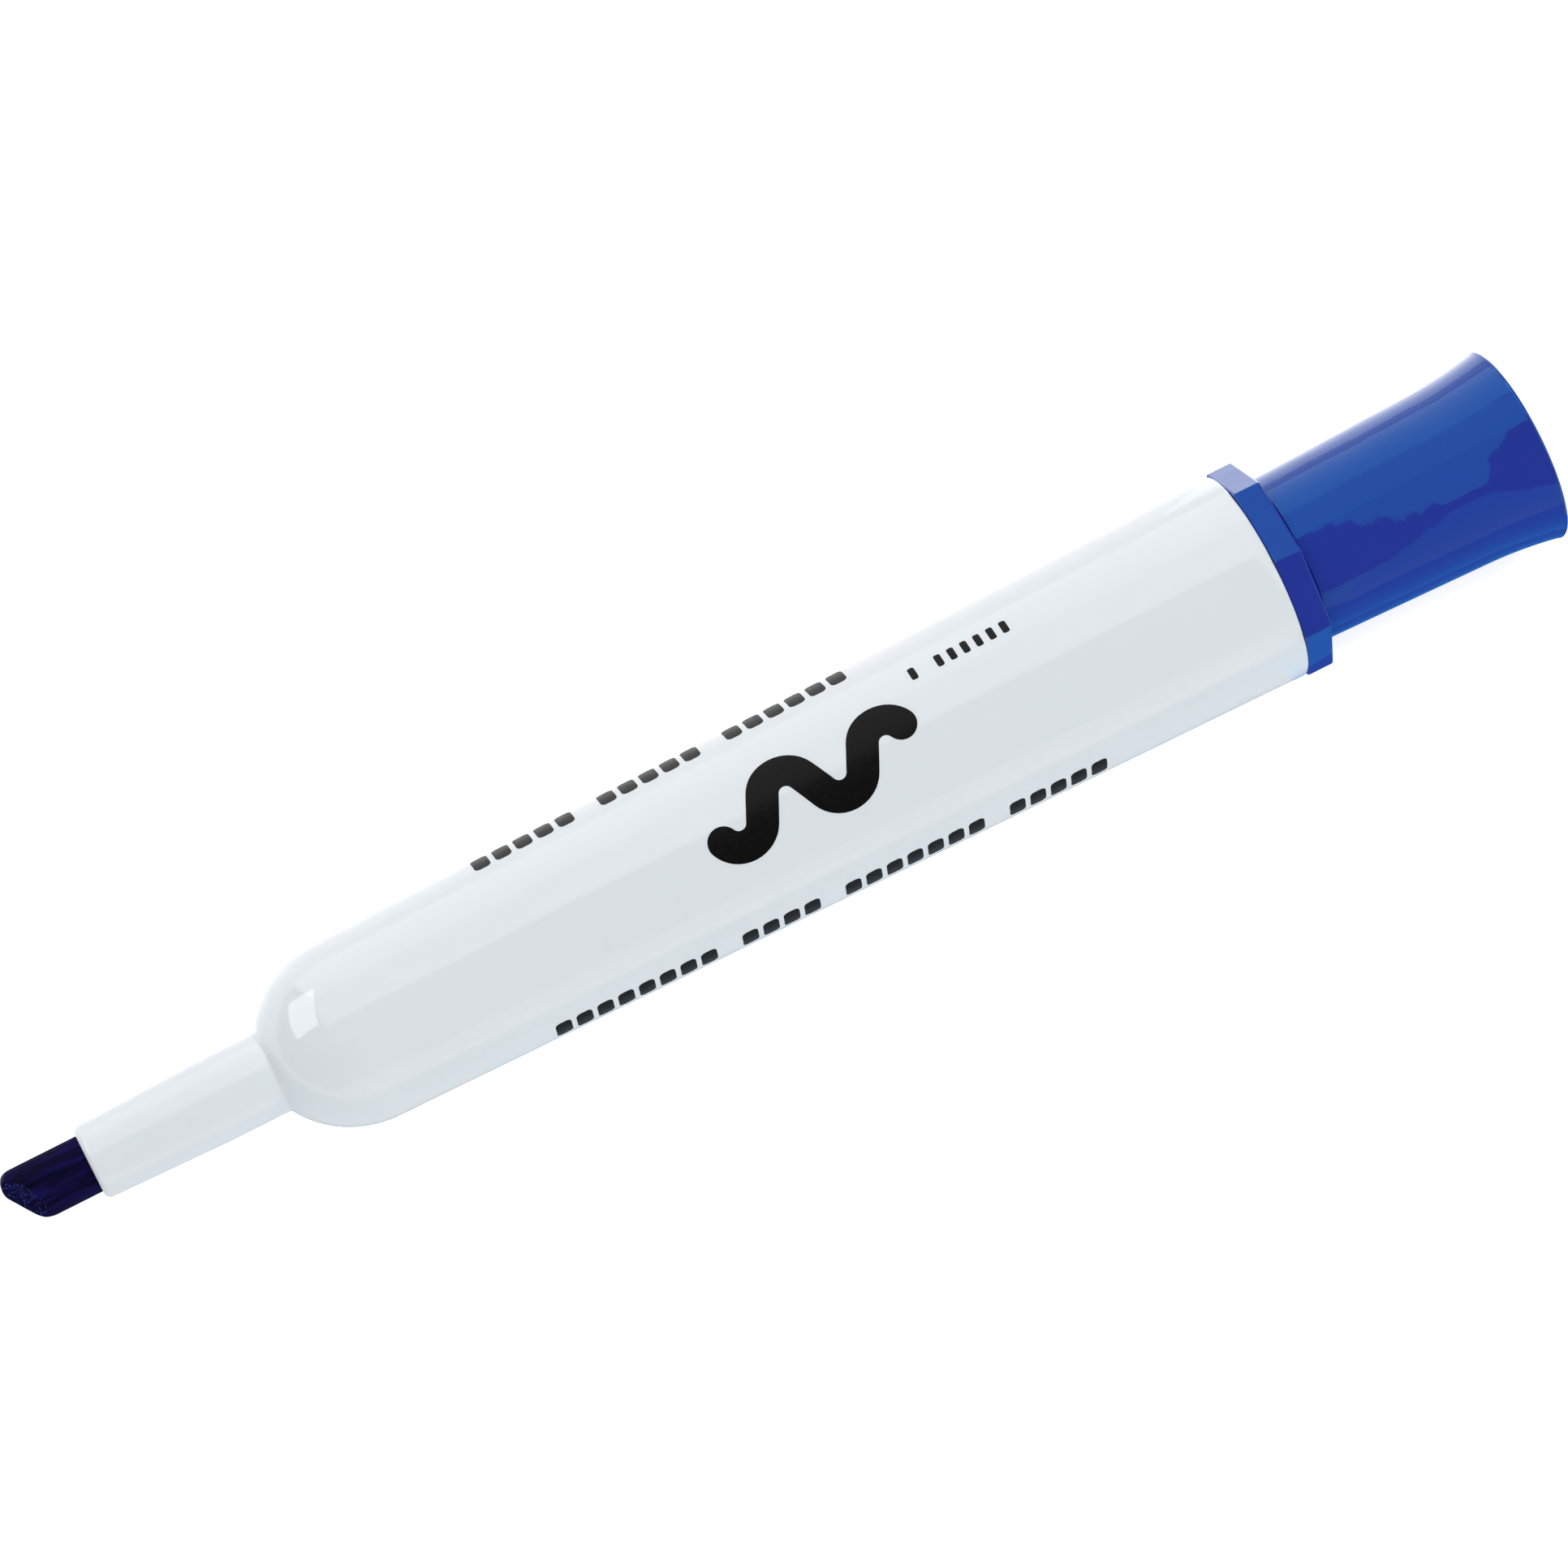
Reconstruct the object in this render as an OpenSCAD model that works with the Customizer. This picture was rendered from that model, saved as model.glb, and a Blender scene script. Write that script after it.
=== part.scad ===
// Chisel-tip whiteboard marker lying on its side, with its cap posted on the rear end.
// Millimetres. The marker's axis runs along X: the nib points to -X and the cap's end to +X.
// The origin is under the middle of the marker, on the surface that its rear rim lies on.
// Turned outlines are lists of [radius, x] points.

/* [Nib] */
// How far the nib reaches out of the neck
nib_reach = 7; // [5:0.1:7]
// Diameter of the nib's round stock
nib_d = 4.84; // [4.2:0.02:4.84]
// Thickness between the nib's two flats
nib_thick = 4; // [3:0.1:4.2]
// Angle between the writing edge and the marker's axis
nib_slant = 55; // [45:1:65]
// Corner radius at the nib's long point
nib_point_r = 1.3; // [0.6:0.1:1.4]
// Corner radius at the nib's short heel
nib_heel_r = 2.3; // [0.6:0.1:2.3]
// Thickness left along the writing edge between its two bevels
nib_edge_t = 1.6; // [1:0.1:2.4]
// Turn of the nib's flats about the axis, from the top towards -Y
nib_turn = 21; // [0:1:45]

/* [Neck] */
// Length of the neck, from its mouth to the shoulder
neck_len = 16; // [12:0.5:16]
// Diameter of the neck at its mouth
neck_tip_d = 6.26; // [6.2:0.02:6.7]
// Diameter of the neck where the cap grips it, and of the posting stub
grip_d = 6.84; // [6.72:0.02:7]
// Length of the straight grip at the neck's root
grip_len = 5; // [3:0.5:8]

/* [Barrel] */
// Length of the barrel, from the neck's root to the rear rim
body_len = 88; // [70:1:110]
// Diameter of the barrel where the shoulder ends
front_d = 15.24; // [14.8:0.02:16.4]
// Diameter of the barrel at its rear rim
rim_d = 17.7; // [17.5:0.05:17.9]
// Length of the shoulder's rounding along the axis
shoulder_len = 8.5; // [7:0.5:10]
// Wall thickness of the barrel
wall = 1.15; // [1.05:0.05:1.15]

/* [Cap] */
// Width of the octagonal collar across its corners
collar_d = 18.06; // [18:0.02:18.6]
// Length of the octagonal collar
collar_len = 2.4; // [1.5:0.1:4]
// Length of the round skirt behind the collar
skirt_len = 21.55; // [21.5:0.05:26]
// Diameter of the skirt next to the collar
waist_d = 14.2; // [13.8:0.1:15]
// Length of the straight part of the skirt, before it flares
flare_start = 15; // [10:0.5:18]
// Radius of the flare's curve, seen from the side
flare_r = 36; // [30:0.5:60]

/* [Hidden] */
$fn = 96;

// Clearances: between turned pieces that sit in each other, and ahead of a seated face
fit_gap = 0.03;
seat_gap = 0.05;

// Places along the axis, worked out from the front to the rear
cap_len = collar_len + skirt_len;
total_len = nib_reach + neck_len + body_len + seat_gap + cap_len;
x_point = -total_len / 2;
x_neck = x_point + nib_reach;
x_root = x_neck + neck_len;
x_rim = x_root + body_len;
x_cap = x_rim + seat_gap;
x_skirt = x_cap + collar_len;
x_end = x_cap + cap_len;

// The rim and one corner of the collar rest on z = 0 together
rim_r = rim_d / 2;
axis_z = rim_r;
collar_turn = acos(rim_d / collar_d);

// Nib: a cut chisel end and a round tail that reaches into the reservoir
nib_r = nib_d / 2;
nib_tail_in = 6.5;
bevel_back = 1.7;
bevel_skew = 12;

// Neck: its rounded mouth and the small fillet at its root
grip_r = grip_d / 2;
nib_bore_r = nib_r + fit_gap;
mouth_round = 0.6;
root_fillet = 0.4;

// Shoulder: a quarter ellipse that meets the neck's root
front_r = front_d / 2;
root_share = grip_r / front_r;
x_front = x_root + shoulder_len * sqrt(1 - root_share * root_share);
root_rise = atan(front_r * sqrt(1 - root_share * root_share) / (shoulder_len * root_share));
fillet_run = root_fillet * tan(root_rise / 2);
x_grip = x_root - fillet_run - grip_len;

// Barrel's inside: the plug's seat, and ribs that centre the reservoir and stop it
rim_round = 0.25;
seat_depth = 8;
seat_r = rim_r - wall;
x_seat = x_rim - seat_depth;
rear_r = seat_r - 0.12;
rib_count = 6;
rib_t = 0.8;
rib_root = 0.4;
rib_stop_r = 3.2;

// Reservoir: a fibre bundle in a thin film sleeve
res_r = front_r - wall - 0.47;
film_t = 0.17;
film_r = res_r + fit_gap + film_t;
rib_r = film_r + seat_gap;
x_res = x_root + 6.5;
x_res_end = x_seat - 0.5;
x_tail = x_res + nib_tail_in;
nib_len = x_tail - x_point;

// Rear plug: a cup pressed into the barrel, with the posting stub on its outer face
plug_t = 1.1;
stub_len = 10;
stub_bore_r = grip_r - 1.1;
stub_chamfer = 0.6;

// Cap: an inner sleeve that grips the neck or the stub, held in the outer shell
cap_end_t = 0.85;
sleeve_r = grip_r + fit_gap;
sleeve_out_r = sleeve_r + 1.05;
flange_t = 2;
shell_bore_r = 5.8;
socket_depth = 3;
socket_t = 0.7;
waist_r = waist_d / 2;
skirt_taper = 0.03;
end_round = 0.3;
x_inside = x_end - cap_end_t;

// Steps in the rounded parts of an outline
arc_steps = 8;
shoulder_steps = 20;
flare_steps = 10;

// Points of an arc in an outline, from angle a0 to a1 about a centre; 0 points outward, 90 to +X
function arc(centre, r, a0, a1, steps = arc_steps) =
    [for (i = [0:steps]) centre + r * [cos(a0 + (a1 - a0) * i / steps), sin(a0 + (a1 - a0) * i / steps)]];

// Quarter ellipse of the shoulder, from radius r0 to its full radius, set in by a wall
function shoulder(r0, inset) =
    let (a0 = asin(r0 / (front_r - inset)))
    [for (i = [0:shoulder_steps])
        let (a = a0 + (90 - a0) * i / shoulder_steps)
        [(front_r - inset) * sin(a), x_front - (shoulder_len - inset) * cos(a)]];

function reversed(points) = [for (i = [len(points) - 1:-1:0]) points[i]];

// Radius of the skirt at a distance behind the collar
function skirt_r(d) = waist_r + skirt_taper * d + pow(max(0, d - flare_start), 2) / (2 * flare_r);

// A [radius, x] outline turned about the marker's axis
module turned(points) {
    translate([0, 0, axis_z])
        rotate([0, 90, 0])
            rotate_extrude()
                polygon(points);
}

// The space inside the barrel, made larger all round by grow
module inside(grow) {
    turned(concat(
        [[0, x_seat]],
        [[0, shoulder(nib_bore_r, wall - grow)[0][1]]],
        shoulder(nib_bore_r, wall - grow),
        [[rear_r + grow, x_seat]]
    ));
}

// Ribs along the inside of the barrel, deeper ahead of the reservoir where they stop it
module ribs() {
    intersection() {
        inside(rib_root);
        translate([0, 0, axis_z])
            for (i = [0:rib_count - 1])
                rotate([i * 360 / rib_count, 0, 0])
                    rotate([90, 0, 0])
                        linear_extrude(rib_t, center = true)
                            polygon([
                                [x_root, rib_stop_r],
                                [x_res - seat_gap, rib_stop_r],
                                [x_res - seat_gap, rib_r],
                                [x_seat, rib_r],
                                [x_seat, rim_r],
                                [x_root, rim_r]
                            ]);
    }
}

// White barrel with its rounded shoulder and slim neck, in one moulding
module barrel() {
    root_tangent = [fillet_run * sin(root_rise), fillet_run * cos(root_rise)];
    color("white") {
        turned(concat(
            [[nib_bore_r, x_neck]],
            arc([neck_tip_d / 2 - mouth_round, x_neck + mouth_round], mouth_round, -90, 0),
            [[grip_r, x_grip]],
            arc([grip_r + root_fillet, x_root - fillet_run], root_fillet, 180, 180 - root_rise),
            shoulder(grip_r + root_tangent[0], 0),
            arc([rim_r - rim_round, x_rim - rim_round], rim_round, 0, 90),
            [[seat_r, x_rim], [seat_r, x_seat], [rear_r, x_seat]],
            reversed(shoulder(nib_bore_r, wall))
        ));
        ribs();
    }
}

// Side outline of the nib in x and breadth: a long point, a slanted edge and a short heel
module nib_outline() {
    edge_normal = -[sin(nib_slant), cos(nib_slant)];
    point_c = [x_point + nib_point_r, nib_r - nib_point_r];
    heel_y = nib_heel_r - nib_r;
    edge_reach = edge_normal * point_c + nib_point_r;
    heel_c = [(edge_reach - nib_heel_r - edge_normal[1] * heel_y) / edge_normal[0], heel_y];
    polygon(concat(
        arc(point_c, nib_point_r, 90, 270 - nib_slant, 2 * arc_steps),
        arc(heel_c, nib_heel_r, 270 - nib_slant, 270),
        [[x_tail, -nib_r], [x_tail, nib_r]]
    ));
}

// Section of the nib across its writing edge: a wedge that opens to the full thickness
module nib_wedge() {
    polygon([
        [0, nib_edge_t / 2],
        [bevel_back, nib_thick / 2],
        [nib_len, nib_thick / 2],
        [nib_len, -nib_thick / 2],
        [bevel_back, -nib_thick / 2],
        [0, -nib_edge_t / 2]
    ]);
}

// Pressed fibre nib with two flats, cut to a chisel
module nib() {
    bevel_turn = 90 - nib_slant - bevel_skew;
    color("midnightblue")
        translate([0, 0, axis_z])
            rotate([nib_turn, 0, 0])
                intersection() {
                    translate([x_point, 0, 0])
                        rotate([0, 90, 0])
                            cylinder(h = nib_len, r = nib_r);
                    linear_extrude(nib_thick, center = true)
                        nib_outline();
                    translate([x_point + nib_point_r, nib_r - nib_point_r, 0])
                        rotate([0, 0, bevel_turn])
                            translate([-nib_point_r, 0, 0])
                                rotate([90, 0, 0])
                                    linear_extrude(2 * nib_len, center = true)
                                        nib_wedge();
                }
}

// Fibre bundle that holds the ink, with a blind hole for the nib's tail
module reservoir_fibre() {
    color("royalblue")
        turned([
            [nib_bore_r, x_res],
            [res_r, x_res],
            [res_r, x_res_end],
            [0, x_res_end],
            [0, x_tail + seat_gap],
            [nib_bore_r, x_tail + seat_gap]
        ]);
}

// Thin film sleeve around the fibre bundle
module reservoir_film() {
    color("lightsteelblue")
        turned([
            [res_r + fit_gap, x_res],
            [film_r, x_res],
            [film_r, x_res_end],
            [res_r + fit_gap, x_res_end]
        ]);
}

// Plug that closes the barrel, with the hollow stub that the cap is posted on
module rear_plug() {
    plug_r = seat_r - fit_gap;
    x_stub = x_rim + stub_len;
    color("mediumblue")
        turned([
            [plug_r - plug_t, x_seat + seat_gap],
            [plug_r, x_seat + seat_gap],
            [plug_r, x_rim],
            [grip_r, x_rim],
            [grip_r, x_stub - stub_chamfer],
            [grip_r - stub_chamfer, x_stub],
            [0, x_stub],
            [0, x_stub - plug_t],
            [stub_bore_r, x_stub - plug_t],
            [stub_bore_r, x_rim - plug_t],
            [plug_r - plug_t, x_rim - plug_t]
        ]);
}

// Inner sleeve of the cap, which seals around the neck or grips the stub
module cap_liner() {
    color("ghostwhite")
        turned([
            [sleeve_r, x_cap],
            [shell_bore_r - fit_gap, x_cap],
            [shell_bore_r - fit_gap, x_cap + flange_t],
            [sleeve_out_r, x_cap + flange_t],
            [sleeve_out_r, x_inside - fit_gap],
            [sleeve_r, x_inside - fit_gap]
        ]);
}

// Outer shell of the cap: octagonal collar, flared skirt and a socket for the sleeve
module cap_shell() {
    socket_r = sleeve_out_r + fit_gap;
    x_socket = x_inside - socket_depth;
    end_r = skirt_r(skirt_len);
    color("royalblue")
        difference() {
            union() {
                translate([x_cap, 0, axis_z])
                    rotate([collar_turn, 0, 0])
                        rotate([0, 90, 0])
                            cylinder(h = collar_len, d = collar_d, $fn = 8);
                turned(concat(
                    [[0, x_cap], [waist_r, x_cap]],
                    [for (i = [0:flare_steps])
                        let (d = flare_start + (skirt_len - end_round - flare_start) * i / flare_steps)
                        [skirt_r(d), x_skirt + d]],
                    arc([end_r - end_round, x_end - end_round], end_round, 0, 90),
                    [[0, x_end]]
                ));
            }
            turned([
                [0, x_cap - 1],
                [shell_bore_r, x_cap - 1],
                [shell_bore_r, x_inside],
                [socket_r + socket_t, x_inside],
                [socket_r + socket_t, x_socket],
                [socket_r, x_socket],
                [socket_r, x_inside],
                [0, x_inside]
            ]);
        }
}

barrel();
nib();
reservoir_fibre();
reservoir_film();
rear_plug();
cap_liner();
cap_shell();
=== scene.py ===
"""Whiteboard marker: detailed meshes, materials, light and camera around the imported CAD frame.

Everything is in metres in the row frame. The marker's axis is parallel to X, with the nib at -X.
Profiles are lists of (radius, x) points that are turned about the axis.
"""
import math

import bpy
from mathutils import Matrix, Vector
from mathutils.bvhtree import BVHTree


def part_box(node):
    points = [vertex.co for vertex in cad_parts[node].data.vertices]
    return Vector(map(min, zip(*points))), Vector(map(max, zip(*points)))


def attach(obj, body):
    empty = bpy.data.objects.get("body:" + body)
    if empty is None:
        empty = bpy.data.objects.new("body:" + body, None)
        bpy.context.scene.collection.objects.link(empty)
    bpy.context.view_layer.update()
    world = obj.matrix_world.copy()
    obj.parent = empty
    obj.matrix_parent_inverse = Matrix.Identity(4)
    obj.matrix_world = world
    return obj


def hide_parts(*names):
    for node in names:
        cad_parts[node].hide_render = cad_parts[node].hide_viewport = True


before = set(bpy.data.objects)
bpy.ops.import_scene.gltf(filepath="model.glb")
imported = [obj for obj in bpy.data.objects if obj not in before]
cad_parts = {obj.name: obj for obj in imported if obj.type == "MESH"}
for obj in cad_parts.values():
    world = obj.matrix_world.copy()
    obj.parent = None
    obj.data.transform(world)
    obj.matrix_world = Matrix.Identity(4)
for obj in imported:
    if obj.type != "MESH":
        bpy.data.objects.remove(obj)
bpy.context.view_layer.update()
MM = 0.001

# ---------------------------------------------------------------- places, from the frame
barrel_lo, barrel_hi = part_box("barrel")
nib_lo, nib_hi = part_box("nib")
plug_lo, plug_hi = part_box("rear_plug")
liner_lo, liner_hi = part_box("cap_liner")
shell_lo, shell_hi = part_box("cap_shell")
film_lo, film_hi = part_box("reservoir_film")

X_POINT = nib_lo.x
X_NECK = barrel_lo.x
X_RIM = barrel_hi.x
X_STUB = plug_hi.x
X_CAP = shell_lo.x
X_END = shell_hi.x
X_INSIDE = liner_hi.x
AXIS_Z = (barrel_lo.z + barrel_hi.z) / 2
RIM_R = (barrel_hi.z - barrel_lo.z) / 2
PLUG_R = (plug_hi.z - plug_lo.z) / 2
FLANGE_R = (liner_hi.z - liner_lo.z) / 2
FILM_R = (film_hi.z - film_lo.z) / 2

# ---------------------------------------------------------------- camera
CAMERA_AZIMUTH = math.radians(-27.5)
CAMERA_ELEVATION = math.radians(75.2)
CAMERA_DISTANCE = 525 * MM
CAMERA_AIM = Vector((1.92, 2.05, 9.33)) * MM
CAMERA_LENS_MM = 151.75
SENSOR_MM = 36


def add_camera():
    data = bpy.data.cameras.new("camera")
    data.lens = CAMERA_LENS_MM
    data.sensor_width = SENSOR_MM
    data.clip_start = 0.02
    data.clip_end = 20
    camera = bpy.data.objects.new("camera", data)
    bpy.context.scene.collection.objects.link(camera)
    level = math.cos(CAMERA_ELEVATION)
    back = Vector((
        math.sin(CAMERA_AZIMUTH) * level,
        -math.cos(CAMERA_AZIMUTH) * level,
        math.sin(CAMERA_ELEVATION),
    ))
    camera.location = CAMERA_AIM + back * CAMERA_DISTANCE
    camera.rotation_mode = "QUATERNION"
    camera.rotation_quaternion = (-back).to_track_quat("-Z", "Y")
    bpy.context.scene.camera = camera


add_camera()

# ---------------------------------------------------------------- mesh helpers
AROUND = 240


def turn_angles(count=AROUND):
    return [2 * math.pi * i / count for i in range(count)]


def on_axis(r, angle, x):
    """A point at radius r and an angle about the marker's axis, from the top towards -Y."""
    return Vector((x, -r * math.sin(angle), AXIS_Z + r * math.cos(angle)))


def new_object(name, vertices, faces, sharp_deg=35):
    """A mesh object with smooth shading and sharp edges past an angle; its normals follow the winding of
    the given faces.
    """
    mesh = bpy.data.meshes.new(name)
    mesh.from_pydata([tuple(v) for v in vertices], [], faces)
    mesh.validate()
    mesh.update()
    obj = bpy.data.objects.new(name, mesh)
    bpy.context.scene.collection.objects.link(obj)
    mesh.shade_smooth()
    mesh.set_sharp_from_angle(angle=math.radians(sharp_deg))
    return obj


def keep_flats_flat(obj):
    modifier = obj.modifiers.new("weighted_normals", "WEIGHTED_NORMAL")
    modifier.keep_sharp = True
    modifier.weight = 80
    return obj


def turned(name, profile, closed=False, angles=None, radius_at=None):
    """Turns a (radius, x) profile about the marker's axis. A point at radius 0 becomes one vertex.

    The profile runs so that the solid is on its right, seen with x up and radius to the right.
    radius_at(index, angle, r) may change a point's radius around the turn.
    """
    angles = angles or turn_angles()
    count = len(angles)
    vertices, rings = [], []
    for index, (r, x) in enumerate(profile):
        if r <= 0:
            rings.append([len(vertices)])
            vertices.append(on_axis(0, 0, x))
            continue
        rings.append(list(range(len(vertices), len(vertices) + count)))
        for angle in angles:
            radius = radius_at(index, angle, r) if radius_at else r
            vertices.append(on_axis(radius, angle, x))
    pairs = list(zip(rings, rings[1:]))
    if closed:
        pairs.append((rings[-1], rings[0]))
    faces = []
    for low, high in pairs:
        for i in range(count):
            j = (i + 1) % count
            if len(low) == 1 and len(high) == 1:
                continue
            if len(low) == 1:
                faces.append((low[0], high[j], high[i]))
            elif len(high) == 1:
                faces.append((low[i], low[j], high[0]))
            else:
                faces.append((low[i], low[j], high[j], high[i]))
    return new_object(name, vertices, faces)


def arc(r_centre, x_centre, radius, start_deg, end_deg, steps=6):
    """Arc in a profile. 0 degrees points away from the axis and 90 degrees to +X."""
    points = []
    for i in range(steps + 1):
        a = math.radians(start_deg + (end_deg - start_deg) * i / steps)
        points.append((r_centre + radius * math.cos(a), x_centre + radius * math.sin(a)))
    return points


def line(start, end, steps):
    """Points from start to end, without start."""
    return [
        (start[0] + (end[0] - start[0]) * i / steps, start[1] + (end[1] - start[1]) * i / steps)
        for i in range(1, steps + 1)
    ]


# ---------------------------------------------------------------- barrel
NECK_LEN = 16 * MM
NECK_TIP_R = 3.13 * MM
MOUTH_ROUND = 0.6 * MM
GRIP_R = 3.42 * MM
GRIP_LEN = 5 * MM
NIB_BORE_R = 2.45 * MM
BORE_EDGE = 0.1 * MM
ROOT_FILLET = 0.4 * MM
FRONT_R = 7.62 * MM
SHOULDER_LEN = 8.5 * MM
WALL = 1.15 * MM
RIM_ROUND = 0.25 * MM
SEAT_DEPTH = 8 * MM
SEAT_STEP = 0.12 * MM
SEAT_EDGE = 0.1 * MM
RIB_COUNT = 6
RIB_HALF = 0.4 * MM
RIB_STOP_R = 3.2 * MM
RIB_GAP = 0.05 * MM

X_ROOT = X_NECK + NECK_LEN
X_SEAT = X_RIM - SEAT_DEPTH
ROOT_SHARE = GRIP_R / FRONT_R
ROOT_LEVEL = math.sqrt(1 - ROOT_SHARE * ROOT_SHARE)
X_FRONT = X_ROOT + SHOULDER_LEN * ROOT_LEVEL
ROOT_RISE = math.atan2(FRONT_R * ROOT_LEVEL, SHOULDER_LEN * ROOT_SHARE)
FILLET_RUN = ROOT_FILLET * math.tan(ROOT_RISE / 2)
SEAT_R = RIM_R - WALL
RIB_R = FILM_R + RIB_GAP


def shoulder(r_start, inset, steps):
    """Quarter ellipse from a radius to the barrel's full front radius, set in by a wall."""
    full = FRONT_R - inset
    length = SHOULDER_LEN - inset
    start = math.asin(r_start / full)
    points = []
    for i in range(steps + 1):
        a = start + (math.pi / 2 - start) * i / steps
        points.append((full * math.sin(a), X_FRONT - length * math.cos(a)))
    return points


def barrel_radius(x):
    """Outer radius of the barrel's tapered length."""
    share = (x - X_FRONT) / (X_RIM - RIM_ROUND - X_FRONT)
    return FRONT_R + (RIM_R - FRONT_R) * share


def barrel_piece():
    """The barrel with its neck, as one closed turned shell with ribs on its inner wall."""
    tangent_r = GRIP_R + FILLET_RUN * math.sin(ROOT_RISE)
    fillet_c = (GRIP_R + ROOT_FILLET, X_ROOT - FILLET_RUN)
    grip_start = (GRIP_R, X_ROOT - FILLET_RUN - GRIP_LEN)
    mouth = arc(NECK_TIP_R - MOUTH_ROUND, X_NECK + MOUTH_ROUND, MOUTH_ROUND, -90, 0, 10)
    root = arc(*fillet_c, ROOT_FILLET, 180, 180 - math.degrees(ROOT_RISE), 8)
    rim = arc(RIM_R - RIM_ROUND, X_RIM - RIM_ROUND, RIM_ROUND, 0, 90, 6)
    outside = [(NIB_BORE_R, X_NECK + BORE_EDGE), (NIB_BORE_R + BORE_EDGE / 2, X_NECK + BORE_EDGE / 5)]
    outside += mouth
    outside += line(mouth[-1], grip_start, steps=16)
    outside += line(grip_start, root[0], steps=8)
    outside += root[1:]
    outside += shoulder(tangent_r, inset=0, steps=40)[1:]
    outside += line((FRONT_R, X_FRONT), rim[0], steps=70)
    outside += rim[1:]
    inside = [(SEAT_R + SEAT_EDGE, X_RIM), (SEAT_R, X_RIM - SEAT_EDGE)]
    inside += [(SEAT_R, X_SEAT), (SEAT_R - SEAT_STEP, X_SEAT)]
    inner_dome = shoulder(NIB_BORE_R, inset=WALL, steps=16)[::-1]
    stop_x = film_lo.x - RIB_GAP
    wall_run = line(inside[-1], inner_dome[0], steps=40)
    profile = outside + inside + wall_run + inner_dome[1:]
    first_rib = len(outside) + len(inside)

    def with_ribs(index, angle, r):
        if index < first_rib:
            return r
        turn = math.radians(360 / RIB_COUNT)
        off = abs((angle + turn / 2) % turn - turn / 2)
        x = profile[index][1]
        reach = RIB_R if x > stop_x else RIB_STOP_R
        if off * max(r, reach) > RIB_HALF:
            return r
        return min(r, reach)

    piece = turned("barrel_shell", profile, closed=True, radius_at=with_ribs)
    return keep_flats_flat(piece)


# ---------------------------------------------------------------- nib
NIB_AROUND = 200
NIB_STEP = 0.12 * MM
NIB_SWING = 90
NIB_PIVOT = 5.5 * MM
TAIL_INSET = 0.02 * MM


def nib_piece():
    """The chisel nib: a fine skin laid on the CAD solid, its edges softened inward by smoothing, as
    pressed fibre.
    """
    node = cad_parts["nib"]
    tree = BVHTree.FromPolygons(
        [v.co.copy() for v in node.data.vertices], [tuple(p.vertices) for p in node.data.polygons]
    )
    pivot_x = X_POINT + NIB_PIVOT
    tail_x = nib_hi.x
    first_x = tail_x - TAIL_INSET
    stations = max(2, round((tail_x - pivot_x) / NIB_STEP))
    rays = []
    for i in range(stations):
        rays.append((first_x - (first_x - pivot_x) * i / stations, 0.0))
    for i in range(NIB_SWING):
        rays.append((pivot_x, math.pi / 2 * i / NIB_SWING))
    vertices, rings = [], []
    for x, swing in rays:
        ring = []
        for k in range(NIB_AROUND):
            angle = 2 * math.pi * k / NIB_AROUND
            side = on_axis(1, angle, 0) - Vector((0, 0, AXIS_Z))
            direction = side * math.cos(swing) + Vector((-1, 0, 0)) * math.sin(swing)
            start = Vector((x, 0, AXIS_Z))
            hit = tree.ray_cast(start, direction)[0]
            ring.append(len(vertices))
            vertices.append(hit)
        rings.append(ring)
    tip = len(vertices)
    vertices.append(tree.ray_cast(Vector((pivot_x, 0, AXIS_Z)), Vector((-1, 0, 0)))[0])
    tail = len(vertices)
    vertices.append(Vector((tail_x, 0, AXIS_Z)))
    faces = []
    for low, high in zip(rings, rings[1:]):
        for i in range(NIB_AROUND):
            j = (i + 1) % NIB_AROUND
            faces.append((low[j], low[i], high[i], high[j]))
    for i in range(NIB_AROUND):
        j = (i + 1) % NIB_AROUND
        faces.append((rings[-1][j], rings[-1][i], tip))
        faces.append((rings[0][i], rings[0][j], tail))
    piece = new_object("nib_tip", vertices, faces, sharp_deg=60)
    smooth = piece.modifiers.new("soft_edges", "SMOOTH")
    smooth.factor = 0.5
    smooth.iterations = 4
    return piece


# ---------------------------------------------------------------- cap
COLLAR_LEN = 2.4 * MM
COLLAR_ACROSS = 18.06 * MM
COLLAR_EDGE = 0.22 * MM
CORNER_ROUND = 0.16 * MM
CORNER_STEPS = 4
FLAT_STEPS = 24
WAIST_R = 7.1 * MM
SKIRT_TAPER = 0.03
GROOVE_LEN = 0.35 * MM
GROOVE_DEPTH = 0.2 * MM
SKIRT_STEPS = 60
FLARE_START = 15 * MM
FLARE_R = 36 * MM
END_ROUND = 0.3 * MM
SHELL_BORE_R = 5.8 * MM
CAP_END_T = 0.85 * MM
SOCKET_DEPTH = 3 * MM
SOCKET_T = 0.7 * MM
SOCKET_GAP = 0.03 * MM
GATE_R = 0.9 * MM
GATE_DEPTH = 0.12 * MM
GATE_EDGE = 0.15 * MM
PIP_R = 0.35 * MM
PIP_TOP_R = 0.25 * MM
SLEEVE_R = 3.45 * MM
SLEEVE_OUT_R = 4.5 * MM
FLANGE_T = 2 * MM
HALF_CORNER = math.radians(22.5)
APOTHEM = COLLAR_ACROSS / 2 * math.cos(HALF_CORNER)
COLLAR_TURN = math.acos(2 * RIM_R / COLLAR_ACROSS)


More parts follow.
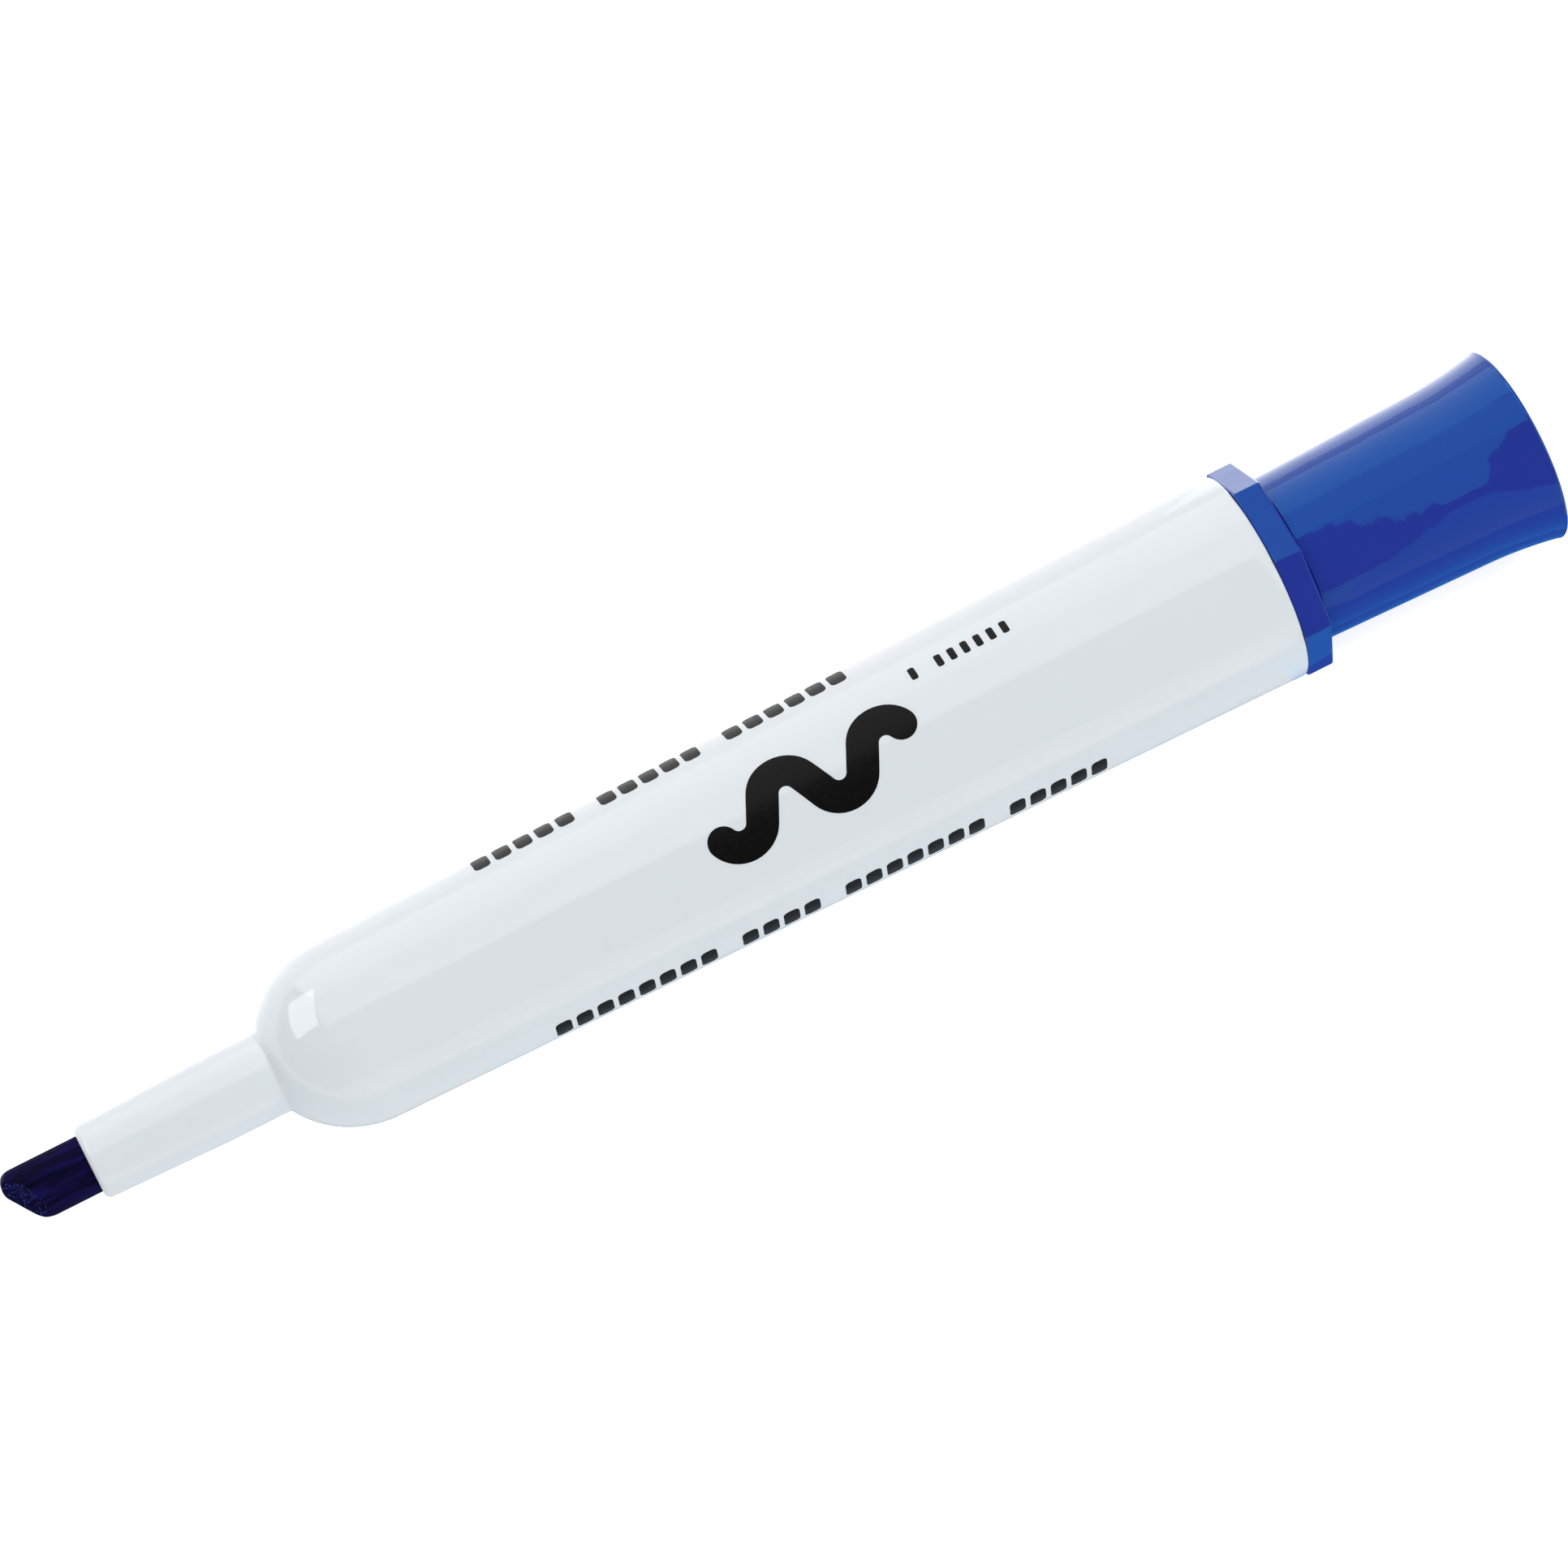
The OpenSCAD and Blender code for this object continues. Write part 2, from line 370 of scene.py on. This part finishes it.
def octagon_radius(angle, apothem):
    """Radius of the collar's octagon, with its corners slightly rounded."""
    from_corner = abs((angle - COLLAR_TURN + HALF_CORNER) % (2 * HALF_CORNER) - HALF_CORNER)
    from_flat = HALF_CORNER - from_corner
    centre = (apothem - CORNER_ROUND) / math.cos(HALF_CORNER)
    arc_limit = HALF_CORNER - math.atan2((apothem - CORNER_ROUND) * math.tan(HALF_CORNER), apothem)
    if from_corner > arc_limit:
        return apothem / math.cos(from_flat)
    across = centre * math.sin(from_corner)
    return centre * math.cos(from_corner) + math.sqrt(CORNER_ROUND ** 2 - across ** 2)


def collar_angles():
    """Angles around the collar: even along the flats and close together at the corners."""
    half = math.atan2((APOTHEM - CORNER_ROUND) * math.tan(HALF_CORNER), APOTHEM)
    tight = HALF_CORNER - half
    angles = []
    for side in range(8):
        corner = COLLAR_TURN + side * 2 * HALF_CORNER
        for i in range(-CORNER_STEPS, CORNER_STEPS + 1):
            angles.append(corner + tight * i / CORNER_STEPS)
        for i in range(1, FLAT_STEPS):
            angles.append(corner + tight + 2 * half * i / FLAT_STEPS)
    return angles


def skirt_radius(d):
    """Radius of the skirt at a distance behind the collar."""
    return WAIST_R + SKIRT_TAPER * d + max(0, d - FLARE_START) ** 2 / (2 * FLARE_R)


def shell_piece():
    """The cap's outer shell: octagonal collar, flared skirt, bore, sleeve's socket and gate mark."""
    x_skirt = X_CAP + COLLAR_LEN
    skirt_len = X_END - x_skirt
    end_r = skirt_radius(skirt_len)
    socket_r = SLEEVE_OUT_R + SOCKET_GAP
    x_floor = X_END - CAP_END_T
    x_socket = x_floor - SOCKET_DEPTH
    b = COLLAR_EDGE
    collar_front = [(APOTHEM + dr, X_CAP + dx) for dr, dx in arc(-b, b, b, -90, 0, 4)]
    collar_back = [(APOTHEM + dr, x_skirt - b + dx) for dr, dx in arc(-b, 0, b, 0, 90, 4)]
    profile = [
        (0, x_floor), (socket_r, x_floor), (socket_r, x_socket), (socket_r + SOCKET_T, x_socket),
        (socket_r + SOCKET_T, x_floor), (SHELL_BORE_R, x_floor), (SHELL_BORE_R, X_CAP + b),
        (SHELL_BORE_R + b, X_CAP),
    ]
    first = len(profile)
    octagon_rings = range(first, first + len(collar_front) + len(collar_back))
    profile += collar_front + collar_back
    groove_r = WAIST_R - GROOVE_DEPTH
    profile += [(groove_r, x_skirt), (groove_r, x_skirt + 0.8 * GROOVE_LEN)]
    profile.append((skirt_radius(GROOVE_LEN), x_skirt + GROOVE_LEN))
    for i in range(1, SKIRT_STEPS + 1):
        d = GROOVE_LEN + (skirt_len - END_ROUND - GROOVE_LEN) * i / SKIRT_STEPS
        profile.append((skirt_radius(d), x_skirt + d))
    profile += arc(end_r - END_ROUND, X_END - END_ROUND, END_ROUND, 0, 90, 6)[1:]
    x_gate = X_END - GATE_DEPTH
    x_pip = X_END - GATE_DEPTH / 3
    profile += [(GATE_R + GATE_EDGE, X_END), (GATE_R, x_gate)]
    profile += [(PIP_R, x_gate), (PIP_TOP_R, x_pip), (0, x_pip)]

    def collar_shape(index, angle, r):
        if index in octagon_rings:
            return octagon_radius(angle, r)
        return r

    piece = turned("cap_outer", profile, angles=collar_angles(), radius_at=collar_shape)
    return keep_flats_flat(piece)


def liner_piece():
    """The cap's inner sleeve, with its flange flush with the cap's mouth."""
    lead = 0.25 * MM
    edge = 0.12 * MM
    outside = [(SLEEVE_R, X_CAP + lead), (SLEEVE_R + lead, X_CAP)]
    outside += arc(FLANGE_R - edge, X_CAP + edge, edge, -90, 0, 4)
    outside += arc(FLANGE_R - edge, X_CAP + FLANGE_T - edge, edge, 0, 90, 4)
    outside += [(SLEEVE_OUT_R, X_CAP + FLANGE_T), (SLEEVE_OUT_R, X_INSIDE), (SLEEVE_R, X_INSIDE)]
    piece = turned("cap_sleeve", outside, closed=True)
    return keep_flats_flat(piece)


def plug_piece():
    """The rear plug with its posting stub."""
    thick = 1.1 * MM
    chamfer = 0.6 * MM
    edge = 0.15 * MM
    x_front = plug_lo.x
    profile = [(0, X_STUB - thick), (GRIP_R - thick, X_STUB - thick), (GRIP_R - thick, X_RIM - thick)]
    profile += [(PLUG_R - thick, X_RIM - thick), (PLUG_R - thick, x_front), (PLUG_R, x_front)]
    profile += arc(PLUG_R - edge, X_RIM - edge, edge, 0, 90, 4)
    profile += [(GRIP_R, X_RIM), (GRIP_R, X_STUB - chamfer), (GRIP_R - chamfer, X_STUB), (0, X_STUB)]
    piece = turned("rear_plug_body", profile)
    return keep_flats_flat(piece)


# ---------------------------------------------------------------- print on the barrel
INK_UP = 0.015 * MM
INK_DOWN = 0.03 * MM
PAD_STEPS = 4
PAD_CORNER = 0.3
LINE_HEIGHT = 2.4 * MM
LINE_FILL = 0.76
CODE_HEIGHT = 1.25 * MM
CODE_FILL = 0.5
BEND_STEPS = 16
RUN_STEPS = 8
END_STEPS = 8
WAVE_ACROSS = 8
LEAST_WIDTH = 0.04


def wrapped_patch(rows):
    """A thin closed patch on the barrel. rows is a grid of (x, arc length) points.

    Arc length is around the barrel, from its top towards -Y.
    """
    count, width = len(rows), len(rows[0])
    vertices = []
    for lift in (INK_UP, -INK_DOWN):
        for row in rows:
            for x, around in row:
                r = barrel_radius(x)
                vertices.append(on_axis(r + lift, around / r, x))
    under = count * width
    faces = []
    for i in range(count - 1):
        for j in range(width - 1):
            a, b = i * width + j, i * width + j + 1
            c, d = b + width, a + width
            faces.append((a, b, c, d))
            faces.append((under + d, under + c, under + b, under + a))
    border = list(range(width))
    border += [i * width + width - 1 for i in range(1, count)]
    border += [(count - 1) * width + j for j in range(width - 2, -1, -1)]
    border += [i * width for i in range(count - 2, 0, -1)]
    for a, b in zip(border, border[1:] + border[:1]):
        faces.append((b, a, under + a, under + b))
    return vertices, faces


def joined(name, patches):
    vertices, faces = [], []
    for patch_vertices, patch_faces in patches:
        base = len(vertices)
        vertices += patch_vertices
        faces += [tuple(base + i for i in face) for face in patch_faces]
    return new_object(name, vertices, faces, sharp_deg=50)


def pad(x0, x1, around, height, corner):
    """A small block with rounded corners."""
    rows = []
    for i in range(PAD_STEPS + 1):
        a = math.pi / 2 * i / PAD_STEPS
        rows.append((x0 + corner * (1 - math.cos(a)), corner * (1 - math.sin(a))))
    for i in range(PAD_STEPS + 1):
        a = math.pi / 2 * i / PAD_STEPS
        rows.append((x1 - corner * (1 - math.sin(a)), corner * (1 - math.cos(a))))
    grid = []
    for x, less in rows:
        half = height / 2 - less
        grid.append([(x, around - half + 2 * half * j / PAD_STEPS) for j in range(PAD_STEPS + 1)])
    return wrapped_patch(grid)


def pad_words(x0, x1, angle_deg, height, words, fill):
    """A line of equal pads in groups, which stands for a line of words.

    fill is a pad's share of the pitch.
    """
    pitch = (x1 - x0) / (sum(words) + len(words) - 1)
    patches = []
    place_at = 0
    for length in words:
        for i in range(length):
            start = x0 + (place_at + i) * pitch
            end = start + fill * pitch
            around = math.radians(angle_deg) * barrel_radius(start)
            patches.append(pad(start, end, around, height, PAD_CORNER * min(height, end - start)))
        place_at += length + 1
    return patches


def wave_path(bend_r, slope_deg, run, halves):
    """Centre line of a wave: arcs and straight runs. Gives (along, across, heading) points."""
    points = []
    x, y = 0.0, 0.0
    for half in range(halves):
        side = -1 if half % 2 == 0 else 1
        start = math.radians(-side * slope_deg)
        turn = math.radians(2 * slope_deg) / BEND_STEPS
        for i in range(BEND_STEPS):
            heading = start + side * turn * (i + 0.5)
            points.append((x, y, start + side * turn * i))
            chord = 2 * bend_r * math.sin(turn / 2)
            x += chord * math.cos(heading)
            y += chord * math.sin(heading)
        points.append((x, y, -start))
        if half == halves - 1:
            break
        for i in range(RUN_STEPS):
            x += run / RUN_STEPS * math.cos(start)
            y -= run / RUN_STEPS * math.sin(start)
            if i < RUN_STEPS - 1:
                points.append((x, y, -start))
    return points


def round_end(point, half, side):
    """Stations of a wave's half-round end, from its centre outwards. side is -1 at the wave's start."""
    x, y, heading = point
    stations = []
    for i in range(1, END_STEPS + 1):
        a = math.pi / 2 * i / END_STEPS
        reach = side * half * math.sin(a)
        at = (x + reach * math.cos(heading), y + reach * math.sin(heading), heading)
        stations.append((at, half * max(math.cos(a), LEAST_WIDTH)))
    return stations


def wave_mark(x0, x1, angle_deg, thick, bend_r, slope_deg, run, halves):
    """A bold wave with round ends, like a pen's trial line, centred between x0 and x1."""
    path = wave_path(bend_r, slope_deg, run, halves)
    length = path[-1][0]
    low = min(point[1] for point in path)
    high = max(point[1] for point in path)
    middle = (x0 + x1) / 2
    centre = math.radians(angle_deg) * barrel_radius(middle)
    half = thick / 2
    stations = round_end(path[0], half, -1)[::-1]
    stations += [(point, half) for point in path]
    stations += round_end(path[-1], half, 1)
    rows = []
    for (x, y, heading), width in stations:
        row = []
        for j in range(WAVE_ACROSS + 1):
            off = width * (2 * j / WAVE_ACROSS - 1)
            along = middle - length / 2 + x - off * math.sin(heading)
            across = y - (low + high) / 2 + off * math.cos(heading)
            row.append((along, centre + across))
        rows.append(row)
    return [wrapped_patch(rows)]


def print_pieces():
    """A wave for the large mark, pads for its two lines of words, and smaller pads for its code."""
    mark = wave_mark(
        x0=-6.6 * MM, x1=12.6 * MM, angle_deg=5, thick=2.6 * MM,
        bend_r=1.9 * MM, slope_deg=64, run=2.3 * MM, halves=4,
    )
    upper = pad_words(-23.4 * MM, 10.2 * MM, -56, LINE_HEIGHT, [5, 5, 6], LINE_FILL)
    lower = pad_words(-23.3 * MM, 25.8 * MM, 82, LINE_HEIGHT, [8, 4, 7, 5], LINE_FILL)
    code = pad_words(13.9 * MM, 23.2 * MM, -26, CODE_HEIGHT, [1, 6], CODE_FILL)
    return [
        joined("print_mark", mark),
        joined("print_lines", upper + lower),
        joined("print_code", code),
    ]


# ---------------------------------------------------------------- materials
SUBSURFACE_SCALE = 0.8 * MM


def new_material(name):
    material = bpy.data.materials.new(name)
    material.use_nodes = True
    nodes = material.node_tree.nodes
    return material, nodes, material.node_tree.links, nodes["Principled BSDF"]


def texture_space(nodes, links, scale):
    """The object's own coordinates in millimetres, stretched by scale."""
    coordinates = nodes.new("ShaderNodeTexCoord")
    mapping = nodes.new("ShaderNodeMapping")
    mapping.inputs["Scale"].default_value = [s / MM for s in scale]
    links.new(coordinates.outputs["Object"], mapping.inputs["Vector"])
    return mapping.outputs["Vector"]


def noise(nodes, links, vector, scale, detail=3, roughness=0.5):
    """Noise with a scale in features per millimetre."""
    node = nodes.new("ShaderNodeTexNoise")
    node.inputs["Scale"].default_value = scale
    node.inputs["Detail"].default_value = detail
    node.inputs["Roughness"].default_value = roughness
    links.new(vector, node.inputs["Vector"])
    return node.outputs["Fac"]


def ranged(nodes, links, value, low, high, from_low=0.3, from_high=0.7):
    """Stretches a value to run from low to high. The default input range is what noise mostly gives."""
    node = nodes.new("ShaderNodeMapRange")
    node.inputs["From Min"].default_value = from_low
    node.inputs["From Max"].default_value = from_high
    node.inputs["To Min"].default_value = low
    node.inputs["To Max"].default_value = high
    links.new(value, node.inputs["Value"])
    return node.outputs["Result"]


def mixed(nodes, links, factor, low, high):
    node = nodes.new("ShaderNodeMix")
    node.data_type = "RGBA"
    node.inputs["A"].default_value = (*low, 1)
    node.inputs["B"].default_value = (*high, 1)
    links.new(factor, node.inputs["Factor"])
    return node.outputs["Result"]


def bumped(nodes, links, bsdf, layers):
    """Chained bump nodes. Each layer is (height socket, distance in mm, strength)."""
    normal = None
    for height, distance, strength in layers:
        node = nodes.new("ShaderNodeBump")
        node.inputs["Distance"].default_value = distance * MM
        node.inputs["Strength"].default_value = strength
        links.new(height, node.inputs["Height"])
        if normal:
            links.new(normal, node.inputs["Normal"])
        normal = node.outputs["Normal"]
    links.new(normal, bsdf.inputs["Normal"])


def moulded_plastic(name, low, high, rough, peel, ior=1.5, tint=None, milky=0):
    """Glossy moulded plastic: faint colour drift, orange peel and fine uneven gloss."""
    material, nodes, links, bsdf = new_material(name)
    space = texture_space(nodes, links, (1, 1, 1))
    drift = noise(nodes, links, space, 0.12, 2)
    links.new(mixed(nodes, links, drift, low, high), bsdf.inputs["Base Color"])
    fine = noise(nodes, links, space, 2.2, 4)
    links.new(ranged(nodes, links, fine, *rough), bsdf.inputs["Roughness"])
    wobble = noise(nodes, links, space, 0.28, 1)
    skin = noise(nodes, links, space, 1.6, 2)
    bumped(nodes, links, bsdf, [(wobble, 0.25 * peel, 0.5), (skin, 0.03 * peel, 0.3)])
    bsdf.inputs["IOR"].default_value = ior
    if tint:
        bsdf.inputs["Specular Tint"].default_value = (*tint, 1)
    if milky:
        bsdf.inputs["Subsurface Weight"].default_value = milky
        bsdf.inputs["Subsurface Radius"].default_value = (1, 1, 1)
        bsdf.inputs["Subsurface Scale"].default_value = SUBSURFACE_SCALE
    return material


def fibre(name, low, high, speck, along=0.25, across=5):
    """Ink-soaked fibre: streaks along the axis, open fibre ends where the surface faces the front."""
    material, nodes, links, bsdf = new_material(name)
    streak_space = texture_space(nodes, links, (along, across, across))
    streaks = noise(nodes, links, streak_space, 1, 4, 0.7)
    colour = mixed(nodes, links, ranged(nodes, links, streaks, 0, 1, 0.42, 0.72), low, high)
    end_space = texture_space(nodes, links, (1, 1, 1))
    ends = nodes.new("ShaderNodeTexVoronoi")
    ends.inputs["Scale"].default_value = 5.5
    links.new(end_space, ends.inputs["Vector"])
    normal = nodes.new("ShaderNodeTexCoord")
    split = nodes.new("ShaderNodeSeparateXYZ")
    links.new(normal.outputs["Normal"], split.inputs["Vector"])
    facing = ranged(nodes, links, split.outputs["X"], 1, 0, -0.6, -0.15)
    spots = ranged(nodes, links, ends.outputs["Distance"], 1, 0, 0.05, 0.3)
    both = nodes.new("ShaderNodeMath")
    both.operation = "MULTIPLY"
    links.new(facing, both.inputs[0])
    links.new(spots, both.inputs[1])
    mix = nodes.new("ShaderNodeMix")
    mix.data_type = "RGBA"
    links.new(both.outputs["Value"], mix.inputs["Factor"])
    links.new(colour, mix.inputs["A"])
    mix.inputs["B"].default_value = (*speck, 1)
    links.new(mix.outputs["Result"], bsdf.inputs["Base Color"])
    links.new(ranged(nodes, links, streaks, 0.5, 0.8), bsdf.inputs["Roughness"])
    bumped(nodes, links, bsdf, [(streaks, 0.08, 0.5), (ends.outputs["Distance"], 0.1, 0.35)])
    bsdf.inputs["Specular IOR Level"].default_value = 0.01
    return material


def print_ink():
    """Black pad-printed ink: dense, slightly uneven and satin."""
    material, nodes, links, bsdf = new_material("print_ink")
    space = texture_space(nodes, links, (1, 1, 1))
    drift = noise(nodes, links, space, 3, 3)
    colour = mixed(nodes, links, drift, (0.003, 0.003, 0.003), (0.005, 0.0045, 0.005))
    links.new(colour, bsdf.inputs["Base Color"])
    links.new(ranged(nodes, links, drift, 0.22, 0.38), bsdf.inputs["Roughness"])
    bsdf.inputs["Specular IOR Level"].default_value = 0.08
    bumped(nodes, links, bsdf, [(drift, 0.004, 0.3)])
    return material


def clear_film():
    """Thin clear film around the ink reservoir, with faint streaks."""
    material, nodes, links, bsdf = new_material("clear_film")
    space = texture_space(nodes, links, (0.2, 2, 2))
    streaks = noise(nodes, links, space, 1, 2)
    colour = mixed(nodes, links, streaks, (0.68, 0.74, 0.84), (0.76, 0.82, 0.9))
    links.new(colour, bsdf.inputs["Base Color"])
    links.new(ranged(nodes, links, streaks, 0.12, 0.25), bsdf.inputs["Roughness"])
    return material


def set_material(obj, material):
    obj.data.materials.clear()
    obj.data.materials.append(material)
    return obj


WHITE = moulded_plastic(
    "white_plastic", (0.785, 0.84, 0.875), (0.805, 0.855, 0.89), (0.05, 0.08), 0.25, ior=1.42, milky=0.1
)
BLUE = moulded_plastic(
    "blue_plastic", (0.021, 0.033, 0.31), (0.023, 0.036, 0.34), (0.03, 0.06), 0.4,
    ior=1.5, tint=(0.02, 0.6, 1.0),
)
MILKY = moulded_plastic(
    "milky_plastic", (0.78, 0.80, 0.80), (0.82, 0.84, 0.83), (0.3, 0.42), 0.5, milky=0.3
)
NIB_FIBRE = fibre("nib_fibre", (0.003, 0.003, 0.018), (0.011, 0.009, 0.1), (0.14, 0.17, 0.6), across=2.5)
RESERVOIR_FIBRE = fibre("reservoir_fibre", (0.02, 0.03, 0.2), (0.06, 0.08, 0.4), (0.1, 0.12, 0.5))
INK = print_ink()
FILM = clear_film()

# ---------------------------------------------------------------- pieces on their bodies
def place(piece, body, material, node=None):
    set_material(piece, material)
    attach(piece, body)
    if node:
        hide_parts(node)
    return piece


place(barrel_piece(), "barrel", WHITE, "barrel")
place(nib_piece(), "barrel", NIB_FIBRE, "nib")
place(plug_piece(), "barrel", BLUE, "rear_plug")
place(liner_piece(), "cap_liner", MILKY, "cap_liner")
place(shell_piece(), "cap", BLUE, "cap_shell")
for ink_piece in print_pieces():
    set_material(ink_piece, INK)
    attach(ink_piece, "barrel")
set_material(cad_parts["reservoir_fibre"], RESERVOIR_FIBRE)
set_material(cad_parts["reservoir_film"], FILM)

# ---------------------------------------------------------------- floor, light and view
FLOOR_HALF = 3.0
FLOOR_SLOPE = math.atan2(RIM_R - FRONT_R, X_RIM - X_FRONT)
FLOOR_GLOW = 0.68
WORLD_GLOW = 0.3
CARD_LIFT = 0.5
FRONT_CARD_Y = -60
TOP_CARD_Z = 110


def add_floor():
    """A plain pale floor that the barrel's lower side lies on, which slopes with its taper."""
    half = FLOOR_HALF
    corners = [(-half, -half, 0), (half, -half, 0), (half, half, 0), (-half, half, 0)]
    floor = new_object("floor", corners, [(0, 1, 2, 3)])
    floor.matrix_world = Matrix.Translation((X_RIM, 0, 0)) @ Matrix.Rotation(FLOOR_SLOPE, 4, "Y")
    material, nodes, links, bsdf = new_material("floor_white")
    space = texture_space(nodes, links, (0.02, 0.02, 0.02))
    drift = noise(nodes, links, space, 1, 2)
    links.new(mixed(nodes, links, drift, (0.9, 0.9, 0.9), (0.92, 0.92, 0.92)), bsdf.inputs["Base Color"])
    bsdf.inputs["Roughness"].default_value = 0.9
    bsdf.inputs["Specular IOR Level"].default_value = 0.1
    bsdf.inputs["Emission Color"].default_value = (1, 1, 1, 1)
    bsdf.inputs["Emission Strength"].default_value = FLOOR_GLOW
    set_material(floor, material)


def softbox(name, direction, distance, size, radiance, part, along=(1, 0, 0)):
    """A rectangular area light of an even radiance that faces the marker.

    part says what it does: "shade" (no reflection) or "gloss" (reflection only).
    along is the way that its first side runs.
    """
    data = bpy.data.lights.new(name, "AREA")
    data.shape = "RECTANGLE"
    data.size, data.size_y = size
    data.energy = radiance * math.pi * size[0] * size[1]
    light = bpy.data.objects.new(name, data)
    bpy.context.scene.collection.objects.link(light)
    away = Vector(direction).normalized()
    first_side = Vector(along)
    first_side = (first_side - away * first_side.dot(away)).normalized()
    second_side = away.cross(first_side)
    turn = Matrix((first_side, second_side, away)).transposed()
    light.matrix_world = Matrix.Translation(away * distance) @ turn.to_4x4()
    light.visible_camera = False
    light.visible_glossy = part != "shade"
    light.visible_diffuse = part != "gloss"
    light.visible_transmission = part != "gloss"
    return light


def card(name, corners, colour, radiance):
    """A glowing card near the marker that only reflections see. Its corners are in millimetres."""
    points = [Vector(corner) * MM for corner in corners]
    piece = new_object(name, points, [tuple(range(len(points)))])
    material, _, _, bsdf = new_material(name)
    bsdf.inputs["Base Color"].default_value = (0, 0, 0, 1)
    bsdf.inputs["Specular IOR Level"].default_value = 0
    bsdf.inputs["Emission Color"].default_value = (*colour, 1)
    bsdf.inputs["Emission Strength"].default_value = radiance
    set_material(piece, material)
    piece.visible_camera = False
    piece.visible_diffuse = False
    piece.visible_transmission = False
    piece.visible_shadow = False


def floor_card(name, x_range, y_range, colour, radiance):
    """A card that lies just above the sloping floor. Its ranges are in millimetres."""
    x0, x1 = x_range
    y0, y1 = y_range
    corners = []
    for x, y in ((x0, y0), (x1, y0), (x1, y1), (x0, y1)):
        floor_z = (X_RIM / MM - x) * math.tan(FLOOR_SLOPE)
        corners.append((x, y, floor_z + CARD_LIFT))
    card(name, corners, colour, radiance)


def add_cards():
    """Cards for the barrel's lower side and the cap. Two slanting edges leave a dark wedge on the cap."""
    cap = X_CAP / MM
    floor_card("barrel_card", (-130, cap), (-60, -2), (0.37, 0.46, 0.53), 1)
    floor_card("cap_near_card", (cap, 78), (-14, -2), (0.04, 0.4, 1), 0.6)
    floor_card("cap_far_card", (cap, 78), (-60, -14), (0.02, 0.5, 1), 1.1)
    floor_card("bounce_card", (cap + 2, cap + 40), (3, 56), (1, 1, 1), 2.4)
    front = [(52, 0), (84, 0), (84, 60), (70, 60), (67, 49), (56, 10)]
    card("cap_front_card", [(x, FRONT_CARD_Y, z) for x, z in front], (0.6, 0.85, 1), 1.2)
    top = [(61, 12), (72, -51), (78, -80), (95, -80), (95, 12)]
    card("cap_top_card", [(x, y, TOP_CARD_Z) for x, y in top], (1, 1, 1), 1.7)


def add_light():
    """Softboxes with their direction, distance and size in metres, and radiance, and an even world."""
    softbox("overhead", (0.06, 0.1, 1.0), 1.1, (1.5, 1.1), 1.95, "shade")
    softbox("front_low", (0.5, -0.85, 0.15), 0.8, (0.8, 0.4), 0.5, "shade")
    softbox("back_strip", (0.12, 0.92, 0.39), 1.0, (1.3, 0.86), 2.4, "gloss")
    softbox("ceiling", (0.05, 0.42, 0.91), 1.1, (1.4, 0.74), 1.7, "gloss")
    softbox("front_strip", (0.1, -0.98, 0.15), 1.0, (1.6, 0.28), 0.9, "gloss")
    softbox("nib_side", (-0.66, 0.54, 0.52), 1.0, (0.75, 0.5), 4.6, "gloss", (0.2, 0.63, -0.27))
    softbox("cap_side", (0.85, -0.15, 0.5), 1.0, (0.8, 0.8), 2.5, "gloss", (0, 1, 0))
    world = bpy.data.worlds.new("studio")
    bpy.context.scene.world = world
    world.use_nodes = True
    background = world.node_tree.nodes["Background"]
    background.inputs["Color"].default_value = (1, 1, 1, 1)
    background.inputs["Strength"].default_value = WORLD_GLOW


add_floor()
add_cards()
add_light()
bpy.context.scene.view_settings.view_transform = "Standard"
bpy.context.scene.view_settings.look = "None"
